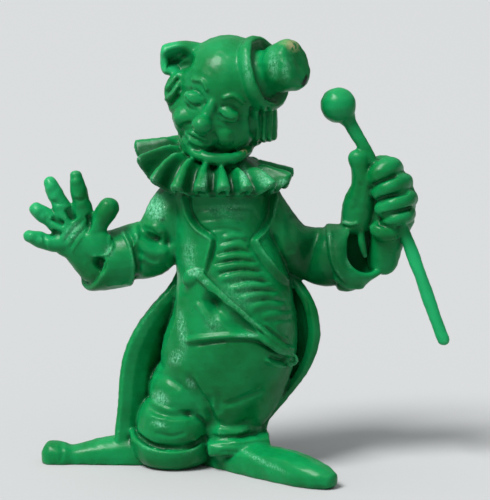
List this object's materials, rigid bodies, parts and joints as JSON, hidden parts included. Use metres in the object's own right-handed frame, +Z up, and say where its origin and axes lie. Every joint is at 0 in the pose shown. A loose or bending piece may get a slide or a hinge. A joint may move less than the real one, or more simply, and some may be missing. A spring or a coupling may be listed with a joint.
{
  "type": "advertising figurine",
  "caption": "Small clown figurine moulded in green plastic, with an open raised hand, a ball-ended baton in its fist, a tilted top hat and long flat shoes that it stands on.",
  "frame": {"origin": "on the ground, between the heels, on the flat underside of the soles", "axes": "-Y is the way the clown faces, +X is to the viewer's right, +Z is up"},
  "size_m": [0.0597, 0.0276, 0.0608],
  "materials": {
    "green_plastic": "solid-coloured soft green plastic, slightly waxy, with pale scuffs on the high places"
  },
  "bodies": {
    "root": {"clown_figure": "green_plastic"}
  },
  "joints": []
}
